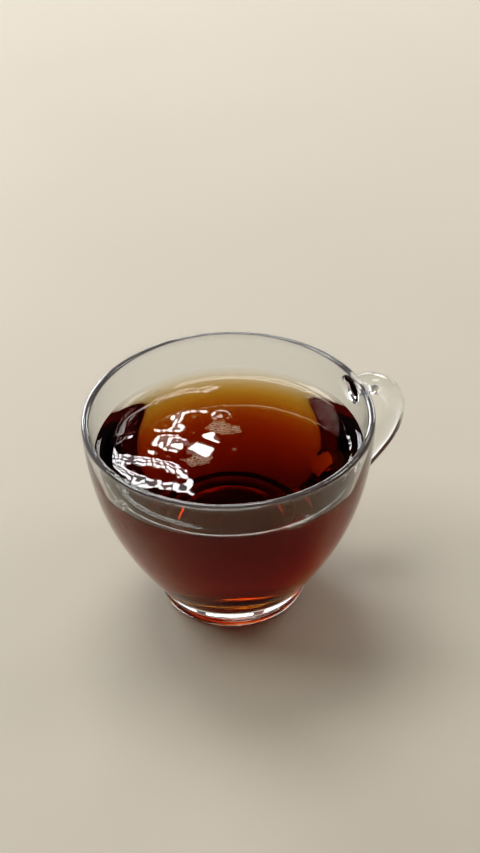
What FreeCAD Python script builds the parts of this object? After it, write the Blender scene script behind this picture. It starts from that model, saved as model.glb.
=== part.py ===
"""Glass cup of tea: a pressed-glass bowl with a looped handle, filled to just under its brim.

Millimetres, +Z up.  The origin is on the bowl's axis, in the plane the foot stands on, and the
handle is on the +X side.  Two pieces: the cup, which is one piece of glass, and the tea in it.
"""
import FreeCAD, Part
import math
import os

os.makedirs("parts", exist_ok=True)
V = FreeCAD.Vector
AXIS = V(0, 0, 1)

# ---- overall sizes -------------------------------------------------------------------------
rim_radius = 43.0        # outside radius of the brim
cup_height = 66.0        # foot to the top of the brim
foot_radius = 23.4       # outside radius of the foot
handle_reach = 17.8      # brim's outside radius to the furthest point of the handle

# ---- glass ---------------------------------------------------------------------------------
lip_round = 1.1          # radius of the fire-polished brim, half the wall there
foot_height = 4.5        # the upright side of the foot
foot_round = 1.8         # rounded lower edge of the foot
ring_width = 3.0         # flat ring that the cup stands on
recess_depth = 1.0       # hollow under the base, inside that ring
recess_slope = 1.6       # how far the hollow's edge leans inwards
base_thickness = 7.5     # solid base, from the foot plane to the floor of the bowl
floor_flat = 10.4        # foot's radius less the radius where the floor starts to curve up

# ---- curve of the sides: reach of each curve's end tangents ---------------------------------
outer_side_pull = 31.8   # down from the brim, outside
inner_side_pull = 27.3   # down from the brim, inside
belly_out = 7.0          # outwards from the foot, outside
belly_up = 12.5          # upwards from the foot, outside
corner_wall = 4.6        # how far the inside curve's lower pull stays within the outside one

# ---- tea -----------------------------------------------------------------------------------
tea_below_brim = 14.4    # the free glass above the tea

# ---- handle --------------------------------------------------------------------------------
bar_thickness = 6.4      # of the bar, in the plane of the loop
bar_width = 8.0          # of the bar, across the loop
top_root_drop = 7.4      # centre of the upper root below the top of the brim
bottom_root_height = 22.5
knee_height = 47.5       # where the loop stands out furthest
top_root_flare = 1.3     # what each half size of the bar gains where it joins the bowl
bottom_root_flare = 2.6
flare_length = 9.0       # of the bar, over which that gain fades
root_depth = 5.0         # how far the bar's ends run into the bowl before the cavity trims them
bar_stations = 18        # sections that the bar is drawn through


def bezier(*points):
    """Edge of one cubic curve through (radius, height) control points."""
    curve = Part.BezierCurve()
    curve.setPoles([V(r, 0, z) for r, z in points])
    return curve.toShape()


def line(*points):
    """Straight edges through (radius, height) points."""
    corners = [V(r, 0, z) for r, z in points]
    return [Part.LineSegment(a, b).toShape() for a, b in zip(corners, corners[1:])]


def arc(start, middle, end):
    """Edge of one circular arc through three (radius, height) points."""
    return Part.Arc(*[V(r, 0, z) for r, z in (start, middle, end)]).toShape()


def turned(edges):
    """Solid of a closed half section turned about the bowl's axis."""
    face = Part.Face(Part.Wire(Part.__sortEdges__(edges)))
    solid = face.revolve(V(0, 0, 0), AXIS, 360)
    return solid if solid.Volume > 0 else solid.reversed()


# ---- half section of the bowl ---------------------------------------------------------------
lip_z = cup_height - lip_round
lip_mid = rim_radius - lip_round
mouth_radius = rim_radius - 2 * lip_round
foot_flat_radius = foot_radius - foot_round
ring_inner = foot_flat_radius - ring_width
floor_edge = foot_radius - floor_flat
slant = math.sqrt(0.5)

outer_curve = bezier((rim_radius, lip_z),
                     (rim_radius, lip_z - outer_side_pull),
                     (foot_radius + belly_out, foot_height + belly_up),
                     (foot_radius, foot_height))
inner_curve = bezier((mouth_radius, lip_z),
                     (mouth_radius, lip_z - inner_side_pull),
                     (foot_radius + belly_out - corner_wall, base_thickness),
                     (floor_edge, base_thickness))
lip = arc((rim_radius, lip_z), (lip_mid, cup_height), (mouth_radius, lip_z))
foot_edge = arc((foot_radius, foot_round),
                (foot_flat_radius + foot_round * slant, foot_round * (1 - slant)),
                (foot_flat_radius, 0))


def make_bowl():
    """The bowl, its solid base and its foot ring, without the handle."""
    foot_side = line((foot_radius, foot_height), (foot_radius, foot_round))
    under = line((foot_flat_radius, 0), (ring_inner, 0),
                 (ring_inner - recess_slope, recess_depth), (0, recess_depth))
    middle = line((0, recess_depth), (0, base_thickness), (floor_edge, base_thickness))
    return turned([lip, outer_curve, foot_edge, inner_curve] + foot_side + under + middle)


def make_cavity():
    """All the room inside the bowl, up to past the brim."""
    above = cup_height + lip_round
    top = line((mouth_radius, lip_z), (mouth_radius, above), (0, above),
               (0, base_thickness), (floor_edge, base_thickness))
    return turned([inner_curve] + top)


def wall_radius(height):
    """Outside radius of the bowl at a height on its side."""
    low, high = 0.0, 1.0
    curve = outer_curve.Curve
    for _ in range(40):
        middle = (low + high) / 2
        if curve.value(middle).z > height:
            low = middle
        else:
            high = middle
    return curve.value(low).x


def handle_path():
    """Centre line of the bar, from inside the wall at the top to inside the wall below."""
    top_z = cup_height - top_root_drop
    reach = rim_radius + handle_reach - bar_thickness / 2
    top_wall = wall_radius(top_z)
    low_wall = wall_radius(bottom_root_height)
    out = reach - top_wall
    fall = knee_height - bottom_root_height
    side = reach - low_wall
    points = [(top_wall - root_depth, top_z - 1.2),
              (top_wall + 0.30 * out, top_z + 1.7),
              (top_wall + 0.76 * out, knee_height + 0.82 * (top_z - knee_height)),
              (reach, knee_height),
              (low_wall + 0.93 * side, bottom_root_height + 0.76 * fall),
              (low_wall + 0.56 * side, bottom_root_height + 0.36 * fall),
              (low_wall + 0.14 * side, bottom_root_height + 0.03 * fall),
              (low_wall - root_depth, bottom_root_height - 3.0)]
    curve = Part.BSplineCurve()
    curve.interpolate([V(r, 0, z) for r, z in points])
    return curve


def bar_section(centre, along, grow):
    """Rounded section of the bar, square to the loop, larger by grow on every side."""
    ellipse = Part.Ellipse(V(0, 0, 0), bar_width / 2 + grow, bar_thickness / 2 + grow)
    wire = Part.Wire([ellipse.toShape()])
    across = V(0, 1, 0)
    normal = along.cross(across)
    turn = FreeCAD.Matrix(across.x, normal.x, along.x, centre.x,
                          across.y, normal.y, along.y, centre.y,
                          across.z, normal.z, along.z, centre.z,
                          0, 0, 0, 1)
    wire.Placement = FreeCAD.Placement(turn)
    return wire


def fade(distance, flare):
    """Extra half size of the bar at a distance from its root."""
    left = max(0.0, 1.0 - distance / flare_length)
    return flare * left ** 2


def make_handle():
    """The looped bar, its ends spread where they run into the bowl."""
    path = handle_path()
    length = path.length()
    sections = []
    for i in range(bar_stations):
        run = length * i / (bar_stations - 1)
        at = path.parameterAtDistance(run, path.FirstParameter)
        along = path.tangent(at)[0]
        from_top = max(0.0, run - root_depth)
        from_bottom = max(0.0, length - run - root_depth)
        grow = fade(from_top, top_root_flare) + fade(from_bottom, bottom_root_flare)
        sections.append(bar_section(path.value(at), along, grow))
    bar = Part.makeLoft(sections, True, False)
    return bar if bar.Volume > 0 else bar.reversed()


def make_tea(cavity):
    """The tea: what fills the bowl up to its level."""
    level = cup_height - tea_below_brim
    below = Part.makeCylinder(2 * rim_radius, level)
    return cavity.common(below)


def single(shape, name):
    """The one solid of a shape, tidied; anything else is a mistake in the sizes."""
    tidy = shape.removeSplitter()
    if len(tidy.Solids) != 1 or not tidy.isValid():
        raise ValueError(name + " is not one sound solid")
    return tidy.Solids[0]


cavity = make_cavity()
glass = single(make_bowl().fuse(make_handle().cut(cavity)), "glass_cup")
tea = single(make_tea(cavity), "tea")

for node, shape in (("glass_cup", glass), ("tea", tea)):
    shape.exportStep("parts/" + node + ".step")
    box = shape.BoundBox
    print(node, "volume %.1f ml" % (shape.Volume / 1000),
          "box %.1f x %.1f x %.1f" % (box.XLength, box.YLength, box.ZLength))
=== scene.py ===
# %% [markdown]
# # A glass cup of tea
# The cup is one piece of pressed clear glass: a bowl, a thick base on a small foot, and a looped
# handle.  The tea fills it to about 14 mm below the brim.  The CAD parts fix every size; this
# script makes the same shapes again, finely enough for glass, and gives them their looks.

import math
import random

import bpy
import numpy as np
from mathutils import Matrix, Vector


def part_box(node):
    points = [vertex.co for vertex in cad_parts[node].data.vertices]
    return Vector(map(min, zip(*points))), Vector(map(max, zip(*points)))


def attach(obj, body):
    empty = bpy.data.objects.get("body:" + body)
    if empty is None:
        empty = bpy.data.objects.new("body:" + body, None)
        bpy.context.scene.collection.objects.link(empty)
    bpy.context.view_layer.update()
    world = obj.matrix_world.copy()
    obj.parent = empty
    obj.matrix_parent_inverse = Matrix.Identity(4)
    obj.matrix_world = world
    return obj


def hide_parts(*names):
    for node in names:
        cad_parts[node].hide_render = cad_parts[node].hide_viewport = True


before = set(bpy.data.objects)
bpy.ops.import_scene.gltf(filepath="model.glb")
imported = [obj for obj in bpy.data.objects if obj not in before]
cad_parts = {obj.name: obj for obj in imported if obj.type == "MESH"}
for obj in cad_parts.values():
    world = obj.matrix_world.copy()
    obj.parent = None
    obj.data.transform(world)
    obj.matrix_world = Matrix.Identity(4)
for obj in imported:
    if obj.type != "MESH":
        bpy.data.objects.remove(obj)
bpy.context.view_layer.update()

MM = 0.001
glass_low, glass_high = [np.array(c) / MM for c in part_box("glass_cup")]
tea_low, tea_high = [np.array(c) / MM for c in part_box("tea")]
brim_radius = -glass_low[0]
cup_height = glass_high[2]
tea_level = tea_high[2]
base_thickness = tea_low[2]
print("brim", round(brim_radius, 2), "height", round(cup_height, 2), "tea level", round(tea_level, 2))


# %% [markdown]
# ## Helpers
# Colours are written the way a painter's chart gives them, as sRGB hex, and Blender works in
# linear light, so one function turns the first into the second.  One more adds a shader node
# with its settings and its links or plain values, and one makes a mesh object from points and
# faces.  Where tea and glass touch there are two surfaces in place of one, so both are told to
# mirror little there.

# %% Small helpers
contact_gleam = 0.06    # mirroring left where tea and glass touch, 1 being all of it
sharp_above = 60.0      # degrees; an edge sharper than this isn't shaded smooth
handle_turn = 25.0      # degrees that the handle points away from the camera, off straight right


def linear(hex_colour):
    """Linear RGBA of an sRGB hex colour."""
    parts = [int(hex_colour[i:i + 2], 16) / 255 for i in (0, 2, 4)]
    return tuple(c / 12.92 if c <= 0.04045 else ((c + 0.055) / 1.055) ** 2.4 for c in parts) + (1,)


def add_node(tree, kind, fed=None, **settings):
    """A node of a kind: settings are its properties or inputs, fed its links or plain values."""
    node = tree.nodes.new(kind)
    for name, value in settings.items():
        if hasattr(node, name):
            setattr(node, name, value)
        else:
            node.inputs[name.replace("_", " ")].default_value = value
    for name, value in (fed or {}).items():
        if isinstance(value, bpy.types.NodeSocket):
            tree.links.new(value, node.inputs[name])
        else:
            node.inputs[name].default_value = value
    return node


def new_material(name):
    """A material whose tree holds only its output."""
    material = bpy.data.materials.new(name)
    material.use_nodes = True
    material.node_tree.nodes.clear()
    return material, material.node_tree, material.node_tree.nodes.new("ShaderNodeOutputMaterial")


def facing(bearing, height):
    """Way to a place seen from the cup, bearing clockwise from straight behind it, in degrees."""
    across, up = math.radians(bearing + handle_turn), math.radians(height)
    return Vector((math.sin(across) * math.cos(up), math.cos(across) * math.cos(up), math.sin(up)))


def mesh_object(name, points_mm, faces, material=None):
    """A smooth-shaded mesh object at the origin, from points in millimetres."""
    mesh = bpy.data.meshes.new(name)
    mesh.from_pydata((np.asarray(points_mm) * MM).tolist(), [], faces)
    mesh.update()
    mesh.shade_smooth()
    mesh.set_sharp_from_angle(angle=math.radians(sharp_above))
    piece = bpy.data.objects.new(name, mesh)
    bpy.context.collection.objects.link(piece)
    if material:
        mesh.materials.append(material)
    return piece


def paint_gleam(piece, against_glass):
    """Store how much each point may mirror: little where tea and glass lie against each other."""
    gleam = piece.data.color_attributes.new("gleam", "FLOAT_COLOR", "POINT")
    share = np.where(against_glass, contact_gleam, 1.0)
    alpha = np.ones(len(share))
    gleam.data.foreach_set("color", np.column_stack([share, share, share, alpha]).ravel())


def open_edges(piece):
    """How many edges of a mesh don't have exactly two faces; a closed skin has none."""
    uses = np.zeros(len(piece.data.edges), int)
    loop_edges = np.empty(len(piece.data.loops), int)
    piece.data.loops.foreach_get("edge_index", loop_edges)
    np.add.at(uses, loop_edges, 1)
    return int((uses != 2).sum())


# %% [markdown]
# ## The camera
# It stands a little over 40 cm from the cup and looks down on it at about 37 degrees, from the
# side where the handle points away to the right.

# %% Camera
camera_place = Vector((-133.65, -286.61, 302.05)) * MM
camera_right = Vector((0.89511, -0.44542, -0.01936)).normalized()
camera_up = Vector((0.28432, 0.53683, 0.79434)).normalized()
camera_back = camera_right.cross(camera_up)

camera_data = bpy.data.cameras.new("camera")
camera_data.lens = 57.02
camera_data.sensor_width = 36.0
camera_data.clip_start = 0.01
camera = bpy.data.objects.new("camera", camera_data)
turn = Matrix((camera_right, camera_up, camera_back)).transposed()
camera.matrix_world = Matrix.Translation(camera_place) @ turn.to_4x4()
bpy.context.collection.objects.link(camera)
bpy.context.scene.camera = camera
print("camera", round(camera_place.length, 3), "m from the foot's centre")


# %% [markdown]
# ## The section of the bowl
# A pressed bowl is the same all round, so half of its section says everything: a curve up the
# outside, the round fire-polished brim, and a curve down the inside.  The outside and the inside
# are one cubic curve each, with the control points that the CAD model has.

# %% Section
lip_round = 1.1
foot_radius = 23.4
foot_height = 4.5
foot_round = 1.8
ring_width = 3.0
recess_depth = 1.0
recess_slope = 1.6
floor_flat = 10.4
belly_out = 7.0
belly_up = 12.5
outer_side_pull = 31.8
inner_side_pull = 27.3
corner_wall = 4.6

lip_height = cup_height - lip_round
mouth_radius = brim_radius - 2 * lip_round
floor_edge = foot_radius - floor_flat


def cubic(points, count=600):
    """Points along one cubic curve."""
    t = np.linspace(0, 1, count)[:, None]
    a, b, c, d = [np.array(p, float) for p in points]
    return (1 - t) ** 3 * a + 3 * (1 - t) ** 2 * t * b + 3 * (1 - t) * t ** 2 * c + t ** 3 * d


def arc(centre, radius, start, end, count=60):
    """Points along a circular arc, angles in degrees."""
    a = np.radians(np.linspace(start, end, count))
    return np.array(centre) + radius * np.column_stack([np.cos(a), np.sin(a)])


def resample(line, places):
    """Points at given distances along a line of points."""
    run = np.r_[0, np.cumsum(np.linalg.norm(np.diff(line, axis=0), axis=1))]
    return np.column_stack([np.interp(places, run, line[:, k]) for k in range(line.shape[1])])


def length_of(line):
    """Length along a line of points."""
    return float(np.linalg.norm(np.diff(line, axis=0), axis=1).sum())


outer_curve = cubic([(foot_radius, foot_height),
                     (foot_radius + belly_out, foot_height + belly_up),
                     (brim_radius, lip_height - outer_side_pull),
                     (brim_radius, lip_height)])
inner_curve = cubic([(mouth_radius, lip_height),
                     (mouth_radius, lip_height - inner_side_pull),
                     (foot_radius + belly_out - corner_wall, base_thickness),
                     (floor_edge, base_thickness)])
print("outside curve", round(length_of(outer_curve), 1), "mm")
print("inside curve", round(length_of(inner_curve), 1), "mm")


# %% [markdown]
# ## The glass
# Glass shows every unevenness of its mesh, because each face bends the light behind it.  So the
# bowl isn't taken from the CAD solid's triangles: its section is turned in even steps, and where
# the handle's roots land, a block of faces is left out and a skin is led from the block's edge
# to the end of the bar, tangent to both.  That gives the soft, flowing roots of pressed glass and
# one closed skin with no faces inside.

# %% Rows and columns of the bowl
columns = 256
under_row_count = 72
side_rows = 92
lip_row_count = 17
inner_row_count = 86
floor_row_count = 12
neck_start = 90         # points of the outside curve that belong to the foot's rounded line
foot_softness = 0.35    # millimetres over which the foot's corners are rounded
fine_step = 0.05        # millimetres between the points of a line while it is rounded


def soften(line, reach):
    """A line of points with its corners rounded over about a reach in millimetres."""
    places = np.arange(0, length_of(line), fine_step)
    even = resample(line, places)
    half = int(3 * reach / fine_step)
    weights = np.exp(-0.5 * (np.arange(-half, half + 1) * fine_step / reach) ** 2)
    weights /= weights.sum()
    first = 2 * even[0] - even[half:0:-1]
    last = 2 * even[-1] - even[-2:-half - 2:-1]
    padded = np.vstack([first, even, last])
    return np.column_stack([np.convolve(padded[:, k], weights, "valid") for k in (0, 1)])


ring_outer = foot_radius - foot_round
ring_inner = ring_outer - ring_width
under_line = np.vstack([(0, recess_depth), (ring_inner - recess_slope, recess_depth),
                        (ring_inner, 0), (ring_outer, 0)])
foot_arc = arc((ring_outer, foot_round), foot_round, -90, 0)
neck = outer_curve[:neck_start]
foot_line = soften(np.vstack([under_line, foot_arc[1:], neck]), foot_softness)
foot_line[:, 1] = np.maximum(foot_line[:, 1], 0)
foot_line[0, 0] = 0

under_rows = resample(foot_line, np.linspace(0, length_of(foot_line), under_row_count))
side_line = outer_curve[neck_start - 1:]
outer_rows = resample(side_line, np.linspace(0, length_of(side_line), side_rows))
lip_rows = arc((brim_radius - lip_round, lip_height), lip_round, 0, 180, lip_row_count)
inner_rows = resample(inner_curve, np.linspace(0, length_of(inner_curve), inner_row_count))
floor_rows = np.column_stack([np.linspace(floor_edge, 0, floor_row_count),
                              np.full(floor_row_count, base_thickness)])
section = np.vstack([under_rows, outer_rows[1:], lip_rows[1:], inner_rows[1:], floor_rows[1:]])
first_side_row = len(under_rows) - 1
print(len(section), "rows of", columns)


def turned_skin(half_section, steps):
    """Points and faces of a half section turned about +Z; its two ends lie on the axis."""
    angles = np.arange(steps) * 2 * math.pi / steps
    middle = half_section[1:-1]
    radius, height = middle[:, 0][:, None], middle[:, 1][:, None]
    rings = np.stack([radius * np.cos(angles), radius * np.sin(angles),
                      np.broadcast_to(height, (len(middle), steps))], axis=2).reshape(-1, 3)
    poles = [(0, 0, half_section[0, 1]), (0, 0, half_section[-1, 1])]
    points = np.vstack([rings, poles])
    row_count = len(middle)
    low, high = row_count * steps, row_count * steps + 1
    faces = {}
    for i in range(row_count - 1):
        for j in range(steps):
            k = (j + 1) % steps
            faces[(i + 1, j)] = (i * steps + j, i * steps + k,
                                 (i + 1) * steps + k, (i + 1) * steps + j)
    for j in range(steps):
        k = (j + 1) % steps
        faces[(0, j)] = (low, k, j)
        faces[(row_count, j)] = (high, (row_count - 1) * steps + j, (row_count - 1) * steps + k)
    return points, faces


# %% [markdown]
# The bar of the handle follows a smooth curve through a few points, the same as in the CAD
# model: out from under the brim, round the knee, and back in low on the side.

# %% Centre line of the handle
bar_thickness = 6.4
bar_width = 8.0
top_root_drop = 7.4
bottom_root_height = 22.5
knee_height = 47.5
handle_reach = glass_high[0] - brim_radius
root_depth = 5.0


def wall_radius(height):
    """Outside radius of the bowl at a height."""
    return float(np.interp(height, outer_curve[:, 1], outer_curve[:, 0]))


def natural_spline(knots, count=400):
    """Smooth curve through points, free of bending at its ends."""
    knots = np.array(knots, float)
    t = np.r_[0, np.cumsum(np.linalg.norm(np.diff(knots, axis=0), axis=1))]
    n, h = len(t), np.diff(t)
    system, right = np.eye(n), np.zeros((n, 2))
    for i in range(1, n - 1):
        system[i, i - 1:i + 2] = h[i - 1], 2 * (h[i - 1] + h[i]), h[i]
        right[i] = 6 * ((knots[i + 1] - knots[i]) / h[i] - (knots[i] - knots[i - 1]) / h[i - 1])
    bend = np.linalg.solve(system, right)
    s = np.linspace(0, t[-1], count)
    i = np.clip(np.searchsorted(t, s) - 1, 0, n - 2)
    a, b, w = (t[i + 1] - s)[:, None], (s - t[i])[:, None], h[i][:, None]
    return ((bend[i] * a ** 3 + bend[i + 1] * b ** 3) / (6 * w)
            + (knots[i] / w - bend[i] * w / 6) * a + (knots[i + 1] / w - bend[i + 1] * w / 6) * b)


top_z = cup_height - top_root_drop
reach = brim_radius + handle_reach - bar_thickness / 2
top_wall, low_wall = wall_radius(top_z), wall_radius(bottom_root_height)
out, side = reach - top_wall, reach - low_wall
rise, fall = top_z - knee_height, knee_height - bottom_root_height
bar_line = natural_spline([(top_wall - root_depth, top_z - 1.2),
                           (top_wall + 0.30 * out, top_z + 1.7),
                           (top_wall + 0.76 * out, knee_height + 0.82 * rise),
                           (reach, knee_height),
                           (low_wall + 0.93 * side, bottom_root_height + 0.76 * fall),
                           (low_wall + 0.56 * side, bottom_root_height + 0.36 * fall),
                           (low_wall + 0.14 * side, bottom_root_height + 0.03 * fall),
                           (low_wall - root_depth, bottom_root_height - 3.0)])
bar_from_wall = bar_line[:, 0] - np.array([wall_radius(z) for z in bar_line[:, 1]])
outside = np.flatnonzero(bar_from_wall > 0)
bar_line = bar_line[outside[0]:outside[-1] + 1]
print("bar", round(length_of(bar_line), 1), "mm from wall to wall")


# %% Skin of the handle, led into the bowl
bar_rings = 72
root_rings = 12
wall_rings = 4
lead = 0.6
# columns and rows of the block left out, footprint across and up the wall, bar's distance from it
top_root = {"columns": 18, "rows": 14, "foot": (5.9, 4.4), "clear": 3.4, "way": 1}
bottom_root = {"columns": 14, "rows": 18, "foot": (5.2, 6.0), "clear": 7.0, "way": -1}


def bar_frames(line):
    """Direction along the bar, and across its thickness, at each point of its centre line."""
    along = np.gradient(line, axis=0)
    along /= np.linalg.norm(along, axis=1)[:, None]
    return along, np.column_stack([-along[:, 1], along[:, 0]])


def block_edge(root, first_row):
    """The grid places round a left-out block of faces, in order, as (row, column)."""
    half, low, high = root["columns"] // 2, first_row, first_row + root["rows"]
    edge = [(low, j) for j in range(-half, half)]
    edge += [(i, half) for i in range(low, high)]
    edge += [(high, j) for j in range(half, -half, -1)]
    edge += [(i, -half) for i in range(high, low, -1)]
    return [(i, j % columns) for i, j in edge]


def on_wall(across, along_wall, middle):
    """Point on the outside of the bowl, at distances across and up from the middle of a root."""
    run = np.r_[0, np.cumsum(np.linalg.norm(np.diff(outer_curve, axis=0), axis=1))]
    here = np.interp(middle, outer_curve[:, 1], run) + along_wall
    radius = np.interp(here, run, outer_curve[:, 0])
    height = np.interp(here, run, outer_curve[:, 1])
    angle = across / radius
    return np.array([radius * math.cos(angle), radius * math.sin(angle), height])


def wall_normal(point):
    """Outward direction of the bowl's outside at a point on it."""
    ahead, behind = wall_radius(point[2] + 0.2), wall_radius(point[2] - 0.2)
    slope = (ahead - behind) / 0.4
    flat = np.array([point[0], point[1], 0]) / math.hypot(point[0], point[1])
    normal = flat - np.array([0, 0, slope])
    return normal / np.linalg.norm(normal)


def led_skin(start, start_way, end, end_way, steps):
    """Points of curves from start to end that leave and arrive along the given ways."""
    span = lead * np.linalg.norm(end - start, axis=1)[:, None]
    t = np.linspace(0, 1, steps + 1)[1:-1, None, None]
    return ((2 * t ** 3 - 3 * t ** 2 + 1) * start + (t ** 3 - 2 * t ** 2 + t) * start_way * span
            + (3 * t ** 2 - 2 * t ** 3) * end + (t ** 3 - t ** 2) * end_way * span)


def root_edge(root, middle, rings):
    """Grid indices round a root's block in turning order, their angles, and the faces left out."""
    heights = rings[:, 0, 2]
    side = slice(first_side_row, first_side_row + side_rows - 1)
    first_row = first_side_row + int(np.argmin(abs(heights[side] - middle))) - root["rows"] // 2
    edge = block_edge(root, first_row)
    centre = on_wall(0, 0, middle)
    up = on_wall(0, 0.5, middle) - centre
    spread = np.array([rings[i, j] for i, j in edge]) - centre
    turn = np.arctan2(root["way"] * (spread @ up) / np.linalg.norm(up), spread[:, 1])
    order = np.argsort(turn)
    half = root["columns"] // 2
    gone = {(i, j % columns) for i in range(first_row + 1, first_row + root["rows"] + 1)
            for j in range(-half, half)}
    return [edge[k][0] * columns + edge[k][1] for k in order], turn[order], gone


def root_skin(root, middle, edge_points, turn, bar_end, along):
    """Rings from the edge of the block, over the wall and up to the end of the bar."""
    across, up = root["foot"]
    way = root["way"]
    foot = np.array([on_wall(across * math.cos(a), way * up * math.sin(a), middle) for a in turn])
    shares = np.linspace(0, 1, wall_rings + 1)[1:-1]
    rings = []
    for share in shares:
        ring = edge_points + share * (foot - edge_points)
        radius = np.array([wall_radius(z) for z in ring[:, 2]]) / np.hypot(ring[:, 0], ring[:, 1])
        rings.append(ring * np.column_stack([radius, radius, np.ones(len(ring))]))
    normals = np.array([wall_normal(p) for p in foot])
    inward = on_wall(0, 0, middle) - foot
    inward -= (inward * normals).sum(axis=1)[:, None] * normals
    inward /= np.linalg.norm(inward, axis=1)[:, None]
    return rings + [foot] + list(led_skin(foot, inward, bar_end, way * along, root_rings))


# %% Make the glass as one skin
points, faces = turned_skin(section, columns)
grid = points[:-2].reshape(-1, columns, 3)
top_edge, top_turn, top_gone = root_edge(top_root, bar_line[0, 1], grid)
bottom_edge, bottom_turn, bottom_gone = root_edge(bottom_root, bar_line[-1, 1], grid)

bar_length = length_of(bar_line)
stations = np.linspace(top_root["clear"], bar_length - bottom_root["clear"], bar_rings)
middle_line = resample(bar_line, stations)
along_2d, normal_2d = bar_frames(resample(bar_line, np.linspace(0, bar_length, 400)))
along_2d = np.column_stack(
    [np.interp(stations, np.linspace(0, bar_length, 400), along_2d[:, k]) for k in (0, 1)])
normal_2d = np.column_stack([-along_2d[:, 1], along_2d[:, 0]])
bar_skin = []
for n, share in enumerate(np.linspace(0, 1, bar_rings)):
    turn = (1 - share) * top_turn + share * bottom_turn
    centre = np.array([middle_line[n, 0], 0, middle_line[n, 1]])
    lift = np.array([normal_2d[n, 0], 0, normal_2d[n, 1]]) * bar_thickness / 2
    wide = np.array([0, bar_width / 2, 0])
    bar_skin.append(centre + np.outer(np.cos(turn), wide) + np.outer(np.sin(turn), lift))

top_way = np.array([along_2d[0, 0], 0, along_2d[0, 1]])
bottom_way = np.array([along_2d[-1, 0], 0, along_2d[-1, 1]])
top_skin = root_skin(top_root, bar_line[0, 1], points[top_edge], top_turn, bar_skin[0], top_way)
bottom_skin = root_skin(bottom_root, bar_line[-1, 1], points[bottom_edge], bottom_turn,
                        bar_skin[-1], bottom_way)
handle_rings = top_skin + bar_skin + bottom_skin[::-1]
around = len(top_edge)
first = len(points)
ring_ids = [top_edge] + [list(range(first + n * around, first + (n + 1) * around))
                         for n in range(len(handle_rings))] + [bottom_edge]
points = np.vstack([points] + handle_rings)
glass_faces = [face for place, face in faces.items() if place not in top_gone | bottom_gone]
for near, far in zip(ring_ids, ring_ids[1:]):
    for i in range(around):
        k = (i + 1) % around
        glass_faces.append((near[i], near[k], far[k], far[i]))
used = sorted({i for face in glass_faces for i in face})
renumber = {old: new for new, old in enumerate(used)}
glass_faces = [tuple(renumber[i] for i in face) for face in glass_faces]
cup_glass = mesh_object("cup_glass", points[used], glass_faces)
print("glass", len(glass_faces), "faces,", open_edges(cup_glass), "open edges")


# %% [markdown]
# ## The tea
# The liquid is a second closed skin.  It reaches a few hundredths of a millimetre into the glass,
# so that no film of air shows between them, and it climbs the wall by about two millimetres, as
# water does on clean glass.  Its top isn't flat: small waves cross it, stronger on the side away
# from the handle, and they break up what it mirrors.

# %% Section and surface of the tea
tea_columns = 320
top_rings = 112
tea_side_rows = 64
tea_floor_rows = 10
into_glass = 0.03
climb = 2.3             # millimetres that the edge stands above the level
climb_reach = 1.6       # millimetres from the wall in which that falls to about a third

outward = np.gradient(inner_curve, axis=0)
outward = np.column_stack([-outward[:, 1], outward[:, 0]])
outward /= np.linalg.norm(outward, axis=1)[:, None]
wet_wall = inner_curve + into_glass * outward
wet_wall = wet_wall[wet_wall[:, 1] < tea_level + climb]
tea_radius = wet_wall[0, 0]
print("wet wall starts", wet_wall[0].round(2), "ends", wet_wall[-1].round(2))

top_radii = tea_radius * (1 - np.linspace(1, 0, top_rings + 1))
climb_curve = tea_level + climb * np.exp(-(tea_radius - top_radii) / climb_reach)
side_points = resample(wet_wall, np.linspace(0, length_of(wet_wall), tea_side_rows))
floor_points = np.column_stack([np.linspace(wet_wall[-1, 0], 0, tea_floor_rows),
                                np.full(tea_floor_rows, wet_wall[-1, 1])])
tea_section = np.vstack([np.column_stack([top_radii, climb_curve])[:-1], side_points,
                         floor_points[1:]])[::-1]
tea_points, tea_faces = turned_skin(tea_section, tea_columns)


def waves(x, y):
    """Height of the small waves, in millimetres, at places across and away on the tea."""
    # of each: height, then length, both in millimetres, then how far along it starts
    ring = 0.050 * np.sin(2 * math.pi * np.hypot(x, y) / 24 + 2.2)
    swell = 0.022 * np.sin(2 * math.pi * (0.35 * x + 0.94 * y) / 14 + 0.6)
    chop = 0.0022 * np.sin(2 * math.pi * (0.45 * x + 0.89 * y) / 6.1 + 1.0 + 0.5 * np.sin(x / 5))
    crossing = 0.0012 * np.sin(2 * math.pi * (0.8 * x - 0.6 * y) / 4.3 + 1.0 + 0.7 * np.sin(y / 5))
    return ring + swell + chop + crossing


calm_share = 0.12       # strength of the waves on the handle's side, 1 being full
calm_from = -1.0        # millimetres across, where they are half way to that
calm_reach = 5.0
edge_calm = 1.5         # millimetres from the wall in which they fade out

turn = math.radians(handle_turn)
across = tea_points[:, 0] * math.cos(turn) - tea_points[:, 1] * math.sin(turn)
away = tea_points[:, 0] * math.sin(turn) + tea_points[:, 1] * math.cos(turn)
distance = np.hypot(across, away)
top_height = np.interp(distance, top_radii, climb_curve)
on_top = tea_points[:, 2] > top_height - 0.02
strength = calm_share + (1 - calm_share) / (1 + np.exp((across - calm_from) / calm_reach))
edge_fade = np.clip((tea_radius - distance) / edge_calm, 0, 1)
ripple = strength * edge_fade * waves(across, away)
tea_points[on_top, 2] += ripple[on_top]
tea_body = mesh_object("tea_body", tea_points, list(tea_faces.values()))
print("tea", len(tea_faces), "faces,", open_edges(tea_body), "open edges")
print("waves", round(float(np.ptp(ripple)), 3), "mm from trough to crest")

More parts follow.
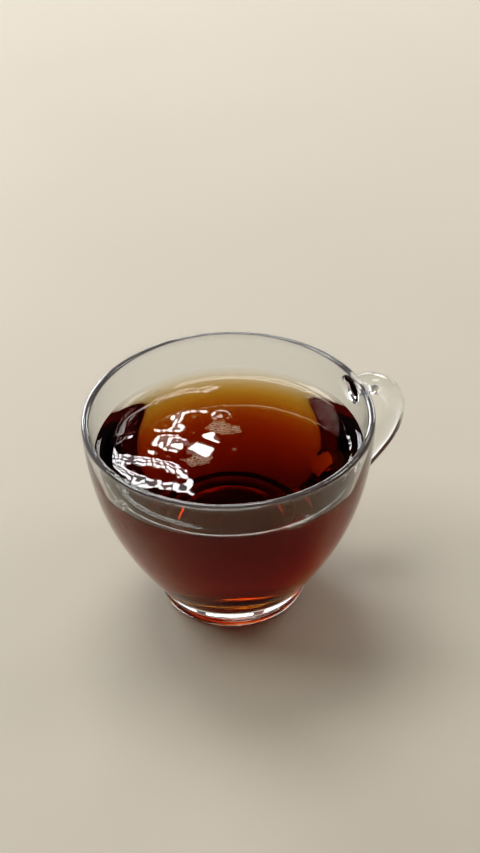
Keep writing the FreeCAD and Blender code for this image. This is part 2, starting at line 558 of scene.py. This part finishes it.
# %% Where tea and glass touch
glass_points = points[used]
glass_radius = np.hypot(glass_points[:, 0], glass_points[:, 1])
glass_height = glass_points[:, 2]
cavity_radius = np.interp(-glass_height, -inner_curve[:, 1], inner_curve[:, 0])
inner_wall = (glass_radius < cavity_radius + 0.3) & (glass_height > base_thickness - 0.1)
wetted = inner_wall & (glass_height < tea_level + climb)
paint_gleam(tea_body, ~on_top)
paint_gleam(cup_glass, wetted)
print("wetted points of the glass", int(wetted.sum()))


# %% [markdown]
# ## Froth and bubbles
# Pouring leaves rafts of tiny bubbles.  What the eye sees of each is its wet border, a thin ring,
# and the rings pack like the cells of a honeycomb, a little loosely.  The rafts repeat one ring,
# which is what Geometry Nodes are for: a grid with every second row shifted, each place strayed a
# little, cut to an uneven oval, with a ring of a random size on each place that is left.  The
# lone bubbles are larger, so each is a thin dome, placed one by one or scattered near the wall.

# %% Finish of the wet films
def wet_film(name, colour, clearness):
    """A thin wet film; the borders in froth scatter light and look paler than the tea."""
    material, tree, output = new_material(name)
    place = add_node(tree, "ShaderNodeTexCoord").outputs["Object"]
    swirl = add_node(tree, "ShaderNodeTexNoise", {"Vector": place}, Scale=900.0)
    gloss = add_node(tree, "ShaderNodeMapRange", {"Value": swirl.outputs["Fac"]},
                     To_Min=0.0, To_Max=0.06)
    shader = add_node(tree, "ShaderNodeBsdfPrincipled", {"Roughness": gloss.outputs["Result"]},
                      Base_Color=linear(colour), IOR=1.36, Transmission_Weight=clearness)
    tree.links.new(shader.outputs["BSDF"], output.inputs["Surface"])
    return material


tea_film = wet_film("tea_film", "F3D9C4", 0.4)
bubble_skin = wet_film("bubble_skin", "FFF8F0", 1.0)


# %% One dome and one ring
def dome(radius, height, film, rings=9, sides=32):
    """Points and faces of a thin closed domed film on z = 0, sizes in millimetres."""
    outer = [(radius * math.cos(a), height * math.sin(a))
             for a in np.linspace(0, math.pi / 2, rings)]
    inner = [((radius - film) * math.cos(a), (height - film) * math.sin(a))
             for a in np.linspace(math.pi / 2, 0, rings)]
    spots, skin = turned_skin(np.array(inner + outer), sides)
    return spots, list(skin.values())


def ring(radius, tube, name, sides=10, around=4):
    """A thin closed ring, the wet border round one bubble of a raft, sizes in millimetres."""
    spots, skin = [], []
    for i in range(sides):
        turn = 2 * math.pi * i / sides
        here, there = i * around, (i + 1) % sides * around
        for k in range(around):
            a = 2 * math.pi * k / around
            away = radius + tube * math.cos(a)
            spots.append((away * math.cos(turn), away * math.sin(turn), tube * math.sin(a)))
            after = (k + 1) % around
            skin.append((here + k, there + k, there + after, here + after))
    return mesh_object(name, spots, skin)


# %% The rafts, by Geometry Nodes
cell_spacing = 1.25     # millimetres from cell to cell
cell_stray = 0.26       # millimetres that a cell may lie off its place, each way
cell_tube = 0.1         # half the thickness of a cell's wet border
smallest_cell = 0.6     # shares of the ring's own size
largest_cell = 1.2
raft_edge = 1.25        # how far out, as the square of a share of the oval, a cell may lie
ragged_edge = 0.7       # how much of that is left to chance

# sums that a raft needs: what comes out, what it starts from, then each step and its other value
raft_sums = (
    ("row step", "Spacing", ("MULTIPLY", math.sqrt(0.75))),
    ("gaps across", "Length", ("DIVIDE", "Spacing"), ("CEIL", 0), ("ADD", 2)),
    ("gaps up", "Breadth", ("DIVIDE", "row step"), ("CEIL", 0), ("ADD", 2)),
    ("places across", "gaps across", ("ADD", 1)),
    ("places up", "gaps up", ("ADD", 1)),
    ("size across", "gaps across", ("MULTIPLY", "Spacing")),
    ("size up", "gaps up", ("MULTIPLY", "row step")),
    ("row shift", "y", ("DIVIDE", "row step"), ("ROUND", 0), ("FLOORED_MODULO", 2),
     ("MULTIPLY", 0.5), ("MULTIPLY", "Spacing")),
    ("half length", "Length", ("MULTIPLY", 0.5)),
    ("half breadth", "Breadth", ("MULTIPLY", 0.5)),
    ("along", "x", ("DIVIDE", "half length"), ("POWER", 2)),
    ("out", "y", ("DIVIDE", "half breadth"), ("POWER", 2), ("ADD", "along")),
    ("luck", "chance", ("MULTIPLY", ragged_edge), ("ADD", "out")))


def raft_tree():
    """Node group: rings on a honeycomb grid, kept inside an uneven oval."""
    tree = bpy.data.node_groups.new("froth_raft", "GeometryNodeTree")
    face = tree.interface
    face.new_socket("Geometry", in_out="OUTPUT", socket_type="NodeSocketGeometry")
    for name, kind in (("Length", "Float"), ("Breadth", "Float"), ("Spacing", "Float"),
                       ("Seed", "Int"), ("Cell", "Object"), ("Film", "Material")):
        face.new_socket(name, in_out="INPUT", socket_type="NodeSocket" + kind)
    given = add_node(tree, "NodeGroupInput").outputs
    seed = {"Seed": given["Seed"]}
    here = add_node(tree, "GeometryNodeInputPosition").outputs[0]
    apart = add_node(tree, "ShaderNodeSeparateXYZ", {"Vector": here})
    chance = add_node(tree, "FunctionNodeRandomValue", seed, data_type="FLOAT")

    known = {name: given[name] for name in ("Length", "Breadth", "Spacing")}
    known.update(x=apart.outputs["X"], y=apart.outputs["Y"], chance=chance.outputs[1])
    for name, start, *steps in raft_sums:
        known[name] = known[start]
        for operation, other in steps:
            fed = {0: known[name], 1: known.get(other, other)}
            known[name] = add_node(tree, "ShaderNodeMath", fed, operation=operation).outputs[0]

    places = add_node(tree, "GeometryNodeMeshGrid", {
        "Vertices X": known["places across"], "Vertices Y": known["places up"],
        "Size X": known["size across"], "Size Y": known["size up"]})
    aside = add_node(tree, "ShaderNodeCombineXYZ", {"X": known["row shift"]})
    shifted = add_node(tree, "GeometryNodeSetPosition",
                       {"Geometry": places.outputs["Mesh"], "Offset": aside.outputs[0]})
    stray = add_node(tree, "FunctionNodeRandomValue",
                     {0: (-cell_stray * MM, -cell_stray * MM, 0),
                      1: (cell_stray * MM, cell_stray * MM, 0), **seed}, data_type="FLOAT_VECTOR")
    strayed = add_node(tree, "GeometryNodeSetPosition",
                       {"Geometry": shifted.outputs[0], "Offset": stray.outputs[0]})
    beyond = add_node(tree, "FunctionNodeCompare", {"A": known["luck"], "B": raft_edge},
                      operation="GREATER_THAN")
    kept = add_node(tree, "GeometryNodeDeleteGeometry",
                    {"Geometry": strayed.outputs[0], "Selection": beyond.outputs[0]},
                    domain="POINT")

    one = add_node(tree, "GeometryNodeObjectInfo", {"Object": given["Cell"]})
    size = add_node(tree, "FunctionNodeRandomValue",
                    {2: smallest_cell, 3: largest_cell, **seed}, data_type="FLOAT")
    spread = add_node(tree, "GeometryNodeInstanceOnPoints",
                      {"Points": kept.outputs[0], "Instance": one.outputs["Geometry"],
                       "Scale": size.outputs[1]})
    real = add_node(tree, "GeometryNodeRealizeInstances", {"Geometry": spread.outputs[0]})
    coated = add_node(tree, "GeometryNodeSetMaterial",
                      {"Geometry": real.outputs[0], "Material": given["Film"]})
    add_node(tree, "NodeGroupOutput", {"Geometry": coated.outputs[0]})
    return tree


raft_group = raft_tree()
print("raft tree", len(raft_group.nodes), "nodes")


def made_raft(length, breadth, seed, cell):
    """Points (millimetres) and faces of one raft, made by the node group."""
    holder = bpy.data.objects.new("raft", bpy.data.meshes.new("raft"))
    bpy.context.collection.objects.link(holder)
    step = holder.modifiers.new("raft", "NODES")
    step.node_group = raft_group
    values = {"Length": length * MM, "Breadth": breadth * MM, "Spacing": cell_spacing * MM,
              "Seed": seed, "Cell": cell, "Film": tea_film}
    for item in raft_group.interface.items_tree:
        if item.in_out == "INPUT":
            step[item.identifier] = values[item.name]
    ready = holder.evaluated_get(bpy.context.evaluated_depsgraph_get())
    mesh = bpy.data.meshes.new_from_object(ready)
    spots = np.array([v.co[:] for v in mesh.vertices]) / MM
    skin = [tuple(p.vertices) for p in mesh.polygons]
    bpy.data.objects.remove(holder)
    return spots, skin


# %% Place the rafts
def joined(name, parts, material):
    """One piece from the points and faces of several parts."""
    spots, skin = [], []
    for part_spots, part_skin in parts:
        start = sum(len(p) for p in spots)
        spots.append(part_spots)
        skin.extend(tuple(i + start for i in face) for face in part_skin)
    piece = mesh_object(name, np.vstack(spots), skin, material)
    print(name, len(skin), "faces,", open_edges(piece), "open edges")
    return piece


# middle x, y, length, breadth, turn in degrees, seed
rafts = [(3.5, 10.6, 10.5, 6.4, -38, 11), (-10.3, -0.2, 8.0, 5.2, -8, 12)]
cell = ring(cell_spacing / 2, cell_tube, "cell")
raft_parts = []
for x, y, long, broad, raft_turn, seed in rafts:
    spots, skin = made_raft(long, broad, seed, cell)
    c, s = math.cos(math.radians(raft_turn)), math.sin(math.radians(raft_turn))
    turned = spots @ np.array([[c, s, 0], [-s, c, 0], [0, 0, 1]])
    raft_parts.append((turned + (x, y, tea_level), skin))
bpy.data.objects.remove(cell)
froth = joined("froth", raft_parts, tea_film)

# %% Place the lone bubbles
skin_thickness = 0.06
# x, y, radius and height of each lone bubble
lone = [(5.1, 16.1, 3.3, 1.5), (35.1, 13.3, 1.25, 1.0), (-18.6, 33.4, 0.7, 0.6),
        (-7.5, 37.1, 0.6, 0.5), (1.4, -0.5, 0.55, 0.45)]
# clusters at the wall: from and to which direction in degrees, and how many
clusters = ((-92, -80, 16), (-171, -163, 7))
draw = random.Random(23)
for start_angle, end_angle, number in clusters:
    for _ in range(number):
        angle = math.radians(draw.uniform(start_angle, end_angle))
        away = tea_radius - draw.uniform(0.7, 2.6)
        lone.append((away * math.cos(angle), away * math.sin(angle), draw.uniform(0.35, 0.6), 0.4))


def tea_top(x, y):
    """Height of the tea at a place, in millimetres."""
    return tea_level + climb * math.exp(-(tea_radius - math.hypot(x, y)) / climb_reach)


bubble_parts = []
for x, y, radius, height in lone:
    spots, skin = dome(radius, height, skin_thickness)
    bubble_parts.append((spots + (x, y, tea_top(x, y)), skin))
bubbles = joined("bubbles", bubble_parts, bubble_skin)


# %% [markdown]
# ## Finishes
# Soda-lime glass bends light by 1.52 and is so smooth after fire polishing that only its slow
# unevenness shows.  Black tea is water coloured by tannins, which swallow blue first, then
# green, and red last: a thin layer is amber, a finger's breadth is red-brown and a cupful is
# nearly black.  That comes from absorption along the light's path, not from a surface colour.

# %% Soda-lime glass, pressed and fire polished
# between these two depths under the top of the brim, in millimetres, the glass goes over to
# letting a little less light through and showing a faint milky white instead: painted light,
# which stands in for the light that a real brim gathers
brim_from = 2.6
brim_to = 1.0
painted_glow_clearness = 0.91


def pressed_glass():
    """Clear glass: slow waves from the mould, 14 mm long, a faint bloom of handling marks, and a
    painted milky glow along the brim.
    """
    material, tree, output = new_material("soda_lime_glass_fire_polished")
    place = add_node(tree, "ShaderNodeTexCoord").outputs["Object"]
    wave = add_node(tree, "ShaderNodeTexNoise", {"Vector": place}, Scale=70.0, Detail=1.0)
    relief = add_node(tree, "ShaderNodeBump", {"Height": wave.outputs["Fac"]},
                      Strength=0.06, Distance=0.0006)
    marks = add_node(tree, "ShaderNodeTexNoise", {"Vector": place}, Scale=160.0, Detail=3.0)
    gloss = add_node(tree, "ShaderNodeMapRange", {"Value": marks.outputs["Fac"]},
                     From_Min=0.45, From_Max=0.8, To_Min=0.0, To_Max=0.03)
    gleam = add_node(tree, "ShaderNodeAttribute", attribute_name="gleam")
    apart = add_node(tree, "ShaderNodeSeparateXYZ", {"Vector": place})
    # painted light: towards the top of the brim the glass lets less light through and shows milky
    # white
    clear = add_node(tree, "ShaderNodeMapRange", {"Value": apart.outputs["Z"]},
                     From_Min=(cup_height - brim_from) * MM,
                     From_Max=(cup_height - brim_to) * MM,
                     To_Min=1.0, To_Max=painted_glow_clearness)
    shader = add_node(tree, "ShaderNodeBsdfPrincipled",
                      {"Roughness": gloss.outputs["Result"], "Normal": relief.outputs["Normal"],
                       "Specular Tint": gleam.outputs["Color"],
                       "Transmission Weight": clear.outputs["Result"]},
                      Base_Color=linear("FBFDFC"), IOR=1.52)
    tree.links.new(shader.outputs["BSDF"], output.inputs["Surface"])
    return material


# %% Black tea
tea_passes = (0.853, 0.655, 0.25, 1)    # red, green and blue, the less the sooner swallowed
tea_strength = 270.0                    # how strongly that counts, to the metre


def black_tea():
    """Clear liquid that absorbs blue most and red least."""
    material, tree, output = new_material("black_tea_liquid")
    place = add_node(tree, "ShaderNodeTexCoord").outputs["Object"]
    film = add_node(tree, "ShaderNodeTexNoise", {"Vector": place}, Scale=60.0, Detail=3.0)
    gloss = add_node(tree, "ShaderNodeMapRange", {"Value": film.outputs["Fac"]},
                     From_Min=0.5, From_Max=0.8, To_Min=0.0, To_Max=0.02)
    gleam = add_node(tree, "ShaderNodeAttribute", attribute_name="gleam")
    shader = add_node(tree, "ShaderNodeBsdfPrincipled",
                      {"Roughness": gloss.outputs["Result"],
                       "Specular Tint": gleam.outputs["Color"]},
                      Base_Color=(1, 1, 1, 1), IOR=1.333, Transmission_Weight=1.0)
    depth = add_node(tree, "ShaderNodeVolumeAbsorption", Color=tea_passes, Density=tea_strength)
    tree.links.new(shader.outputs["BSDF"], output.inputs["Surface"])
    tree.links.new(depth.outputs["Volume"], output.inputs["Volume"])
    return material


cup_glass.data.materials.append(pressed_glass())
tea_body.data.materials.append(black_tea())
print("finishes", [m.name for m in bpy.data.materials if m.users])


# %% [markdown]
# ## Who carries what
# The smooth glass and the tea stand in for their CAD solids, which stay hidden for collision.
# The froth and the bubbles float on the tea, so they ride on the same root body as it.

# %% Ride and replace
for piece in (cup_glass, tea_body, froth, bubbles):
    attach(piece, "root")
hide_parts("glass_cup")
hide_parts("tea")


# %% [markdown]
# ## Floor and light
# A plain pale table top.  The room is dim and grey, so that glass has something dark to show.
# A broad light high behind the cup throws the soft shadow, one on each side fills it, and low
# ones behind draw the bright lines on the foot and along the tea's edge at the front.  Glowing
# panes stand where the tea's surface mirrors them, as a window would.

# %% Floor
def pale_table():
    """Matt pale laminate: a soft beige, clouded a little, and lighter towards the back right as
    painted light.
    """
    material, tree, output = new_material("pale_matt_laminate")
    place = add_node(tree, "ShaderNodeTexCoord").outputs["Object"]
    cloud = add_node(tree, "ShaderNodeTexNoise", {"Vector": place}, Scale=9.0, Detail=4.0)
    # painted light and shade: the tone grows lighter towards the back right and darker towards the
    # front
    along = add_node(tree, "ShaderNodeVectorMath", {0: place, 1: facing(60, 0)},
                     operation="DOT_PRODUCT")
    fade = add_node(tree, "ShaderNodeMapRange", {"Value": along.outputs["Value"]},
                    interpolation_type="SMOOTHSTEP", From_Min=-0.15, From_Max=0.50,
                    To_Min=0.0, To_Max=0.08)
    share = add_node(tree, "ShaderNodeMath",
                     {0: cloud.outputs["Fac"], 1: 0.12, 2: fade.outputs["Result"]},
                     operation="MULTIPLY_ADD")
    tone = add_node(tree, "ShaderNodeMix",
                    {"Factor": share.outputs[0], 6: linear("B0A898"), 7: linear("DAD3CA")},
                    data_type="RGBA")
    shader = add_node(tree, "ShaderNodeBsdfPrincipled", {"Base Color": tone.outputs[2]},
                      Roughness=0.55, Specular_IOR_Level=0.25)
    tree.links.new(shader.outputs["BSDF"], output.inputs["Surface"])
    return material


floor_half = 3000.0
floor_drop = 0.05
corners = [(-1, -1), (1, -1), (1, 1), (-1, 1)]
floor = mesh_object("floor", [(x * floor_half, y * floor_half, -floor_drop) for x, y in corners],
                    [(0, 1, 2, 3)], pale_table())
print("floor", 2 * floor_half * MM, "m wide")


# %% Window
window_distance = 2600.0
# middle bearing and height, degrees wide and tall, panes across and up, of each part
window_banks = [(-2.3, 36.0, 2.6, 1.0, 4, 2), (-3.1, 37.55, 3.6, 1.1, 5, 2),
                (-5.05, 39.85, 4.7, 1.9, 7, 3)]
pane_radiance = 30.0
sheet_radiance = 2.5
sheet_behind = 20.0     # millimetres from the panes back to the dimmer sheet
pane_half_width = 0.43  # shares of the space that a pane has
pane_half_rise = 0.38


def daylight(name, radiance):
    """A surface that only shines."""
    material, tree, output = new_material(name)
    glow = add_node(tree, "ShaderNodeEmission", Color=linear("FFFFFF"), Strength=radiance)
    tree.links.new(glow.outputs[0], output.inputs["Surface"])
    return material


def window_panes():
    """Rounded bright panes in front of a dimmer sheet, like daylight through a screen."""
    points, faces, shines = [], [], []
    round_cell = [(math.cos(a), math.sin(a)) for a in np.arange(0, 2 * math.pi, math.pi / 6)]
    for bearing, height, wide, tall, across, up in window_banks:
        way = facing(bearing, height)
        right = Vector((way.y, -way.x, 0)).normalized()
        above = right.cross(way)
        width, rise = (window_distance * math.radians(a) for a in (wide, tall))
        pane_width, pane_rise = width / across, rise / up
        places = [(0, 0, width / 2, rise / 2, sheet_behind, 0)]
        places += [((i + 0.5) * pane_width - width / 2, (j + 0.5) * pane_rise - rise / 2,
                    pane_half_width * pane_width, pane_half_rise * pane_rise, 0, 1)
                   for i in range(across) for j in range(up)]
        for x, z, half_width, half_rise, behind, shine in places:
            outline = round_cell if shine else corners
            faces.append(tuple(range(len(points), len(points) + len(outline))))
            shines.append(shine)
            for c, s in outline:
                spot = way * (window_distance + behind) + right * (x + c * half_width)
                points.append(spot + above * (z + s * half_rise))
    panes = mesh_object("window_panes", points, faces, daylight("dim_sheet", sheet_radiance))
    panes.data.materials.append(daylight("bright_pane", pane_radiance))
    panes.data.polygons.foreach_set("material_index", shines)
    print("window", sum(shines), "panes")
    return panes


window_panes()


# %% Soft lights
# name, bearing and height in degrees, distance, width and height in metres, radiance, colour
lights = [("overhead_key", -19, 64, 2.0, 1.0, 0.9, 7.3, "FFFCF8"),
          ("low_back", 3, 14, 2.6, 1.2, 0.28, 9.0, "FFFDFA"),
          ("left_soft", -80, 48, 2.4, 0.9, 0.9, 9.0, "FFFDFA"),
          ("right_soft", 75, 45, 2.6, 0.9, 0.8, 5.0, "FFFAF4"),
          ("low_left", -30, 16, 2.6, 1.1, 1.0, 14.0, "F8F9FF"),
          ("low_right", 33, 15, 2.6, 0.9, 0.7, 8.0, "FFFDFA")]


def soft_light(name, bearing, height, distance, width, tall, radiance, colour):
    """A rectangular light that faces the cup."""
    data = bpy.data.lights.new(name, "AREA")
    data.shape = "RECTANGLE"
    data.size, data.size_y = width, tall
    data.energy = radiance * math.pi * width * tall
    data.color = linear(colour)[:3]
    light = bpy.data.objects.new(name, data)
    way = facing(bearing, height)
    light.location = way * distance
    light.rotation_euler = way.to_track_quat("Z", "Y").to_euler()
    bpy.context.collection.objects.link(light)
    print("light", name, round(data.energy, 1), "W")


for light in lights:
    soft_light(*light)


# %% The room
def room_light():
    """A dim grey room, a little brighter overhead, and darkest where the tea mirrors it."""
    world = bpy.data.worlds.new("room")
    world.use_nodes = True
    tree = world.node_tree
    tree.nodes.clear()
    way = add_node(tree, "ShaderNodeTexCoord").outputs["Generated"]
    apart = add_node(tree, "ShaderNodeSeparateXYZ", {"Vector": way})
    overhead = add_node(tree, "ShaderNodeMapRange", {"Value": apart.outputs["Z"]},
                        interpolation_type="SMOOTHSTEP", From_Min=0.55, From_Max=1.0,
                        To_Min=0.2, To_Max=0.3)
    toward = add_node(tree, "ShaderNodeVectorMath", {0: way, 1: facing(3, 38)},
                      operation="DOT_PRODUCT")
    corner = add_node(tree, "ShaderNodeMapRange", {"Value": toward.outputs["Value"]},
                      interpolation_type="SMOOTHSTEP", From_Min=0.93, From_Max=0.985,
                      To_Min=1.0, To_Max=0.15)
    share = add_node(tree, "ShaderNodeMath", {0: overhead.outputs[0], 1: corner.outputs[0]},
                     operation="MULTIPLY")
    glow = add_node(tree, "ShaderNodeBackground", {"Strength": share.outputs[0]},
                    Color=linear("E4E2E4"))
    add_node(tree, "ShaderNodeOutputWorld", {"Surface": glow.outputs[0]})
    return world


bpy.context.scene.world = room_light()


# %% [markdown]
# ## The tone of the print
# The darkest tones come out a little darker in print than they were in the light, and glass full
# of deep red tea shows it.  A curve for each channel does the same to the finished picture.

# %% Tone curve
# how bright the light is, and how bright it is printed
red_tones = ((0.02, 0.012), (0.034, 0.026), (0.07, 0.063), (0.12, 0.114), (0.25, 0.247))
cool_tones = ((0.02, 0.006), (0.034, 0.0125), (0.07, 0.050), (0.12, 0.106), (0.25, 0.247))


def print_tone(settings):
    """Standard colours, with the darkest tones pulled down, green and blue more than red."""
    settings.view_transform = "Standard"
    settings.use_curve_mapping = True
    for channel, tones in enumerate((red_tones, cool_tones, cool_tones)):
        curve = settings.curve_mapping.curves[channel]
        for light, printed in tones:
            curve.points.new(light, printed)
        for point in curve.points:
            point.handle_type = "AUTO_CLAMPED"
    settings.curve_mapping.update()


print_tone(bpy.context.scene.view_settings)
